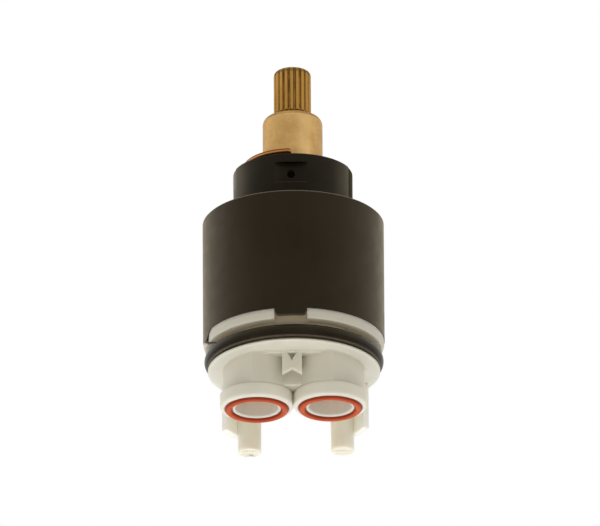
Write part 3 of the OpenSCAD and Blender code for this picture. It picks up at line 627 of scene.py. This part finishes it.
# lighter edges: partly tumbling wear, partly painted highlight
edge_highlight_and_wear = product(tree, edge["Mask"], between(tree, above_barrel, 0.0, 1.0, 0.3, 0.1))
edge_highlight_and_wear_colour = (0.55, 0.39, 0.19, 1)
fill(tree, finish["Base Color"], mixed(tree, edge_highlight_and_wear, colour, edge_highlight_and_wear_colour))
fill(tree, finish["Roughness"], between(tree, dents["Tone"], 0.0, 1.0, 0.50, 0.62))
set_plain(finish, Metallic=1.0)
thread_pitch, thread_radius, thread_depth = 0.7 * MM, 1.68 * MM, 60.0
turns = sums(tree, "ADD", sums(tree, "DIVIDE", about["Height"], thread_pitch),
             sums(tree, "DIVIDE", about["Angle"], 2 * math.pi))
in_hole = product(tree, between(tree, about["Distance"], thread_radius + 0.07 * MM, thread_radius), on_spline)
thread = product(tree, sums(tree, "PINGPONG", turns, 0.5), in_hole, thread_depth)
skin = sums(tree, "ADD", thread, sums(tree, "MULTIPLY_ADD", rings["Height"], 0.7, dents["Height"]))
fill(tree, finish["Normal"], bumped(tree, skin, 0.012 * MM, 0.7, edge["Normal"]))
dress(stem_brass, "stem_brass", "stem")

# %% [markdown]
# ## Stop plate: pressed bronze
# The half-moon plate is punched from copper-coloured bronze sheet, which was rolled, so fine lines run one
# way over its faces. The punched rim keeps the bronze's colour in the middle of its thickness, and painted
# shade darkens it along both edges and over the faces. Two dark strips of mesh would do, but one mask of
# height, measured from the middle of the plate, paints the shade on both edges and the faces.

# %% Plate bronze
plate_low, plate_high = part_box("stop_plate")
plate_middle, half_thick = (plate_low.z + plate_high.z) / 2, (plate_high.z - plate_low.z) / 2
plate_bronze, tree, finish = new_material("plate_bronze")
tones = place_group(tree, drifting, First=(0.40, 0.148, 0.037, 1), Second=(0.465, 0.19, 0.056, 1), Scale=260.0)
edge = place_group(tree, soft_edge, Radius=0.15 * MM)
along_roll = node(tree, "Mapping", Vector=object_place(tree), Scale=(300.0, 7000.0, 300.0)).outputs[0]
rolled = node(tree, "TexNoise", Vector=along_roll, Scale=1.0, Detail=2.0).outputs["Fac"]
on_rim = between(tree, sums(tree, "ABSOLUTE", facing_up(tree)), 0.7, 0.3, 0.0, 0.3)
# painted shade along both edges of the rim, and over the faces
bright_height = plate_middle - half_thick * 0.2
from_bright = sums(tree, "ABSOLUTE", sums(tree, "SUBTRACT", object_axes(tree)["Z"], bright_height))
rim_edge_shade = between(tree, from_bright, half_thick * 0.15, half_thick * 0.75, 0.0, 0.9)
rim_colour, edge_shade_colour = (0.37, 0.13, 0.036, 1), (0.10, 0.036, 0.012, 1)
colour = mixed(tree, on_rim, tones["Color"], rim_colour)
fill(tree, finish["Base Color"], mixed(tree, rim_edge_shade, colour, edge_shade_colour))
fill(tree, finish["Roughness"], between(tree, rolled, 0.3, 0.7, 0.30, 0.42))
set_plain(finish, Metallic=1.0)
fill(tree, finish["Normal"], bumped(tree, rolled, 0.006 * MM, 0.6, edge["Normal"]))
dress(plate_bronze, "plate_bronze", "stop_plate")

# %% [markdown]
# ## Base: off-white acetal
# The base is moulded in unfilled acetal. Light enters it a little way and comes out again, warmer, so its
# thin rims glow and its shadows are never grey. Subsurface scattering does that; a plain white would look
# like plaster. The groove above the seal has a warm painted shade at its bottom, the notched ring outside it
# has a greyer painted shade, and a warmer line runs on the rim of the flange.

# %% White acetal: groove, ring and rim
flange_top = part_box("base_oring")[0].z
port_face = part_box("port_seal_cold")[0].z + 0.65 * MM
collar_top, pocket_height, flange_low = port_face + 3.1 * MM, port_face + 5.2 * MM, port_face + 10.3 * MM
white_acetal, tree, finish = new_material("white_acetal")
tones = place_group(tree, drifting, First=(0.78, 0.745, 0.635, 1), Second=(0.74, 0.70, 0.585, 1), Scale=120.0)
about = place_group(tree, round_place)
axes = object_axes(tree)
groove_floor, groove_lip, rim_start = 17.4 * MM, 18.2 * MM, 18.1 * MM
above_flange = between(tree, about["Height"], flange_top, flange_top + 0.5 * MM)
# painted warm shade at the bottom of the groove
painted_groove_shade = product(tree, above_flange, between(tree, about["Distance"], groove_lip, groove_floor, 0.0, 0.9))
# painted shade: the notched ring is greyer
painted_ring_shade = product(tree, above_flange,
                 between(tree, about["Distance"], groove_floor - 0.2 * MM, groove_lip, 0.0, 0.8))
on_rim = product(tree, within(tree, about["Height"], flange_low, flange_low + 0.12 * MM,
                              flange_top - 0.1 * MM, flange_top),
                 between(tree, about["Distance"], rim_start, rim_start + 0.3 * MM, 0.0, 0.8))
groove_shade_colour, ring_shade_colour = (0.79, 0.66, 0.43, 1), (0.52, 0.49, 0.40, 1)
rim_colour = (0.70, 0.585, 0.38, 1)
colour = mixed(tree, painted_groove_shade, tones["Color"], groove_shade_colour)
colour = mixed(tree, painted_ring_shade, colour, ring_shade_colour)
colour = mixed(tree, on_rim, colour, rim_colour)
print("flange from", round(flange_low / MM, 2), "to", round(flange_top / MM, 2), "mm")

# %% [markdown]
# ### Tubes, legs, pocket and bores
# Below the flange the port tubes and the pocket in the rib between them carry painted shade, the legs are
# painted lighter, and the bores of the ports are browner. The boxes of the seals give the heights, because
# the large seal lies right on the flange and the port seals sit in the ports' faces.

# %% White acetal: below the flange
port_aside, port_ahead, bore_radius = 7.875 * MM, 5.1 * MM, 4.62 * MM
tubes_back, legs_inside, pocket_radius = 4.0 * MM, 12.0 * MM, 2.2 * MM
pocket_mouth, pocket_end = -11.6 * MM, -8.0 * MM
# painted shade on the port tubes
on_tubes = product(tree, within(tree, axes["Z"], collar_top - 0.8 * MM, collar_top + 1.3 * MM,
                                flange_low - 0.5 * MM, flange_low + 0.3 * MM),
                   between(tree, axes["Y"], tubes_back + 2.0 * MM, tubes_back))
# painted light: the legs are paler
on_legs = product(tree, between(tree, sums(tree, "ABSOLUTE", axes["X"]), legs_inside, legs_inside + 0.6 * MM),
                  between(tree, axes["Y"], tubes_back, tubes_back + 2.0 * MM),
                  between(tree, axes["Z"], flange_low - 0.3 * MM, flange_low - 2.0 * MM))
from_pocket = reach(tree, axes["X"], sums(tree, "SUBTRACT", axes["Z"], pocket_height))
# painted shade in the pocket of the rib
in_pocket = product(tree, between(tree, from_pocket, pocket_radius, pocket_radius - 0.3 * MM),
                    within(tree, axes["Y"], pocket_mouth, pocket_mouth + 0.2 * MM,
                           pocket_end - 1.0 * MM, pocket_end))
from_port = [place_group(tree, round_place, Centre_X=side * port_aside, Centre_Y=-port_ahead)["Distance"]
             for side in (-1, 1)]
in_bore = between(tree, sums(tree, "MINIMUM", *from_port), bore_radius + 0.18 * MM, bore_radius, 0.0, 0.85)
# tube and pocket colours are painted shade, the leg colour painted light, the bore colour browner
tube_shade_colour, leg_light_colour = (0.64, 0.615, 0.515, 1), (0.85, 0.835, 0.75, 1)
pocket_shade_colour, bore_colour = (0.58, 0.555, 0.45, 1), (0.745, 0.65, 0.555, 1)
for mask, mark_colour in ((on_tubes, tube_shade_colour), (on_legs, leg_light_colour),
                          (in_pocket, pocket_shade_colour), (in_bore, bore_colour)):
    colour = mixed(tree, mask, colour, mark_colour)
print("port centres in mm:", round(port_aside / MM, 3), "aside and", round(port_ahead / MM, 3), "ahead")

# %% [markdown]
# ### The acetal's skin
# Its skin is smooth but not glossy, with a weak grain and softly rounded, paler edges. The radii of the
# scattering are longest for red, which is what warms the light inside.

# %% White acetal: skin and scattering
edge = place_group(tree, soft_edge, Radius=0.45 * MM)
grain = place_group(tree, mould_grain, Scale=1500.0, Waves=1.5)
edge_colour = (0.86, 0.85, 0.80, 1)
fill(tree, finish["Base Color"], mixed(tree, product(tree, edge["Mask"], 0.4), colour, edge_colour))
fill(tree, finish["Roughness"], between(tree, grain["Tone"], 0.0, 1.0, 0.40, 0.52))
set_plain(finish, Specular_IOR_Level=0.4, Subsurface_Weight=0.6, Subsurface_Radius=(1.0, 0.88, 0.72),
          Subsurface_Scale=3.0 * MM)
fill(tree, finish["Normal"], bumped(tree, grain["Height"], 0.01 * MM, 0.5, edge["Normal"]))
dress(white_acetal, "white_plastic", "base", "stem_bush")

# %% [markdown]
# ## Black rubber: seals and gaskets
# A nitrile ring is black with a dull gloss. Round the large ring's outer and inner equator runs the
# hair-thin flash of its mould, and a thin band of painted reflection lies on its underside, where it leaves
# the flange. A second ring of mesh could carry that band, but a mask of distance and height is enough for
# one that thin.

# %% Black nitrile
ring_low, ring_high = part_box("base_oring")
ring_equator = (ring_low.z + ring_high.z) / 2
black_nitrile, tree, finish = new_material("black_nitrile")
tones = place_group(tree, drifting, First=(0.006, 0.0042, 0.0025, 1), Second=(0.010, 0.0078, 0.005, 1),
                    Scale=160.0)
grain = place_group(tree, mould_grain, Scale=2100.0, Waves=1.8)
about = place_group(tree, round_place)
flash = place_group(tree, seam, Offset=sums(tree, "SUBTRACT", about["Height"], ring_equator), Width=0.07 * MM)
reflection_inside, reflection_outside = 17.95 * MM, 18.75 * MM
underside = between(tree, about["Height"], ring_low.z + 0.9 * MM, ring_low.z + 0.5 * MM)
# painted reflection: a pale band low on the large ring
painted_reflection = product(tree, within(tree, about["Distance"], reflection_inside, reflection_inside + 0.25 * MM,
                             reflection_outside - 0.25 * MM, reflection_outside), underside, 0.9)
reflection_colour = (0.098, 0.088, 0.07, 1)
fill(tree, finish["Base Color"], mixed(tree, painted_reflection, tones["Color"], reflection_colour))
fill(tree, finish["Roughness"], between(tree, grain["Tone"], 0.0, 1.0, 0.24, 0.34))
set_plain(finish, Specular_IOR_Level=0.22, Specular_Tint=(1.0, 0.77, 0.48, 1))
skin = sums(tree, "MULTIPLY_ADD", flash["Height"], 2.5, grain["Height"])
fill(tree, finish["Normal"], bumped(tree, skin, 0.01 * MM, 0.6))
dress(black_nitrile, "black_rubber", "base_oring", "guide_oring", "stem_oring_lower", "stem_oring_upper",
      "driver_seal", "cold_gasket", "hot_gasket", "outlet_gasket")

# %% [markdown]
# ## Red silicone: the port seals
# The two port seals are red-brown silicone, softer and a little translucent, with a satin skin. The crown
# of the ring, which faces the floor, is orange-red, and its flanks are painted with shade that falls off to
# a deep brown-red. Scattering alone would make that shade in a thicker ring; in one this thin a mask of
# height paints it.

# %% Red silicone
seal_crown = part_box("port_seal_cold")[0].z
red_silicone, tree, finish = new_material("red_silicone")
tones = place_group(tree, drifting, First=(0.47, 0.061, 0.014, 1), Second=(0.535, 0.086, 0.025, 1), Scale=240.0)
grain = place_group(tree, mould_grain, Scale=2600.0, Waves=1.5)
# painted shade on the flanks, darker away from the crown
shaded_flanks = between(tree, object_axes(tree)["Z"], seal_crown + 0.03 * MM, seal_crown + 0.36 * MM)
flank_shade_colour = (0.24, 0.026, 0.003, 1)
fill(tree, finish["Base Color"], mixed(tree, shaded_flanks, tones["Color"], flank_shade_colour))
fill(tree, finish["Roughness"], between(tree, grain["Tone"], 0.0, 1.0, 0.34, 0.46))
set_plain(finish, Specular_IOR_Level=0.2, Subsurface_Weight=0.04, Subsurface_Radius=(1.0, 0.25, 0.12),
          Subsurface_Scale=0.5 * MM)
fill(tree, finish["Normal"], bumped(tree, grain["Height"], 0.01 * MM, 0.5))
dress(red_silicone, "red_rubber", "port_seal_cold", "port_seal_hot")

# %% [markdown]
# ## The inner pieces
# What is inside shows only if the cartridge is cut open or taken apart, but a reusable part is finished
# there too. The washers are waxy low-friction plastic, and the driver is grey acetal with slightly paler
# edges. Both are made as the outer plastics are, from the same groups with other values.

# %% Washers
washer_plastic, tree, finish = new_material("washer_plastic")
tones = place_group(tree, drifting, First=(0.88, 0.875, 0.85, 1), Second=(0.82, 0.815, 0.78, 1), Scale=150.0)
grain = place_group(tree, mould_grain, Scale=1800.0, Waves=1.0)
fill(tree, finish["Base Color"], tones["Color"])
fill(tree, finish["Roughness"], between(tree, grain["Tone"], 0.0, 1.0, 0.42, 0.55))
set_plain(finish, Subsurface_Weight=0.1, Subsurface_Scale=1.0 * MM)
fill(tree, finish["Normal"], bumped(tree, grain["Height"], 0.008 * MM, 0.5))
dress(washer_plastic, "washer_plastic", "stem_washer", "driver_washer")

# %% Driver
driver_grey, tree, finish = new_material("driver_grey")
tones = place_group(tree, drifting, First=(0.33, 0.34, 0.36, 1), Second=(0.27, 0.28, 0.30, 1), Scale=120.0)
edge = place_group(tree, soft_edge, Radius=0.2 * MM)
grain = place_group(tree, mould_grain, Scale=2400.0, Waves=0.9)
edge_colour = (0.5, 0.51, 0.53, 1)
fill(tree, finish["Base Color"], mixed(tree, product(tree, edge["Mask"], 0.4), tones["Color"], edge_colour))
fill(tree, finish["Roughness"], between(tree, grain["Tone"], 0.0, 1.0, 0.38, 0.52))
fill(tree, finish["Normal"], bumped(tree, grain["Height"], 0.01 * MM, 0.5, edge["Normal"]))
dress(driver_grey, "driver_plastic", "disc_driver")

# %% [markdown]
# ### Ceramic discs
# The discs are alumina. Their faces are lapped so flat that they seal on each other, which makes them glossy,
# and their fired edges stay matte and grainy. The direction that a surface faces tells the two apart. The
# middles of a fine cell texture are used as the tiny dark specks of the fired powder.

# %% Lapped ceramic
lapped_alumina, tree, finish = new_material("lapped_alumina")
tones = place_group(tree, drifting, First=(0.90, 0.885, 0.84, 1), Second=(0.86, 0.84, 0.79, 1), Scale=180.0)
dots = node(tree, "TexVoronoi", Vector=object_place(tree), Scale=900.0).outputs["Distance"]
lapped = between(tree, sums(tree, "ABSOLUTE", facing_up(tree)), 0.9, 0.99)
fired = product(tree, place_group(tree, mould_grain, Scale=3000.0, Waves=0.5)["Height"],
                sums(tree, "SUBTRACT", 1.0, lapped))
in_speck, speck_colour = between(tree, dots, 0.09, 0.04, 0.0, 0.5), (0.42, 0.39, 0.34, 1)
fill(tree, finish["Base Color"], mixed(tree, in_speck, tones["Color"], speck_colour))
fill(tree, finish["Roughness"], between(tree, lapped, 0.0, 1.0, 0.55, 0.12))
fill(tree, finish["Normal"], bumped(tree, fired, 0.008 * MM, 0.6))
dress(lapped_alumina, "disc_ceramic", "moving_disc", "fixed_disc")

# %% [markdown]
# ## A gate nub
# Melted plastic enters a mould through a gate, and a tiny torn stub stays where it was. Here it sits on the
# tip of the left peg. A sphere pushed into the tip would be a quick stand-in, but torn plastic is uneven. So
# it is built as a small leaning cone: rings of points that shrink and wander, skinned with faces.

# %% Gate nub on the left peg
def gate_nub(name, centre, radius, height, rings=5, sides=16):
    """A small leaning cone of torn plastic that hangs down from its centre."""
    taper, blunt, unevenness, lean = 0.6, 0.04, 0.16, Vector((0.10, -0.08, 0))
    stub = bmesh.new()
    loops = []
    for i in range(rings):
        share = i / (rings - 1)
        ring_radius = radius * ((1.0 - share) ** taper * (1.0 - blunt) + blunt)
        middle = centre + lean * radius * share * share - Vector((0, 0, height * share))
        loop = []
        for j in range(sides):
            angle = 2 * math.pi * j / sides
            outwards = Vector((math.cos(angle), math.sin(angle), 0))
            wobble = 1.0 + unevenness * noise.noise(outwards * 2 + Vector((0, 0, share * 3)))
            loop.append(stub.verts.new(middle + outwards * ring_radius * wobble))
        loops.append(loop)
    for upper, lower in zip(loops, loops[1:]):
        for j in range(sides):
            k = (j + 1) % sides
            stub.faces.new((upper[j], upper[k], lower[k], lower[j]))
    stub.faces.new(list(reversed(loops[0])))
    stub.faces.new(loops[-1])
    bmesh.ops.recalc_face_normals(stub, faces=stub.faces)
    for face in stub.faces:
        face.smooth = True
    mesh = bpy.data.meshes.new(name)
    stub.to_mesh(mesh)
    stub.free()
    piece = bpy.data.objects.new(name, mesh)
    scene.collection.objects.link(piece)
    mesh.materials.append(white_acetal)
    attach(piece, "cartridge_body")
    print(name, "faces:", len(mesh.polygons))


peg_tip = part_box("base")[0].z
nub_place = Vector((-9.75 * MM, 11.3 * MM, peg_tip + 0.05 * MM))
gate_nub("gate_nub", nub_place, radius=0.5 * MM, height=0.38 * MM)

# %% [markdown]
# ## The last check
# The box of the finished model is set against that of the CAD model, and how much it grew is printed. The
# box of the finished model has to stay that of the CAD model, apart from a hair.

# %% Print how much the box grew
visual_low, visual_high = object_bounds()
grown = (visual_high - visual_low) - (cad_high - cad_low)
print("grown by, in mm:", [round(v / MM, 2) for v in grown])
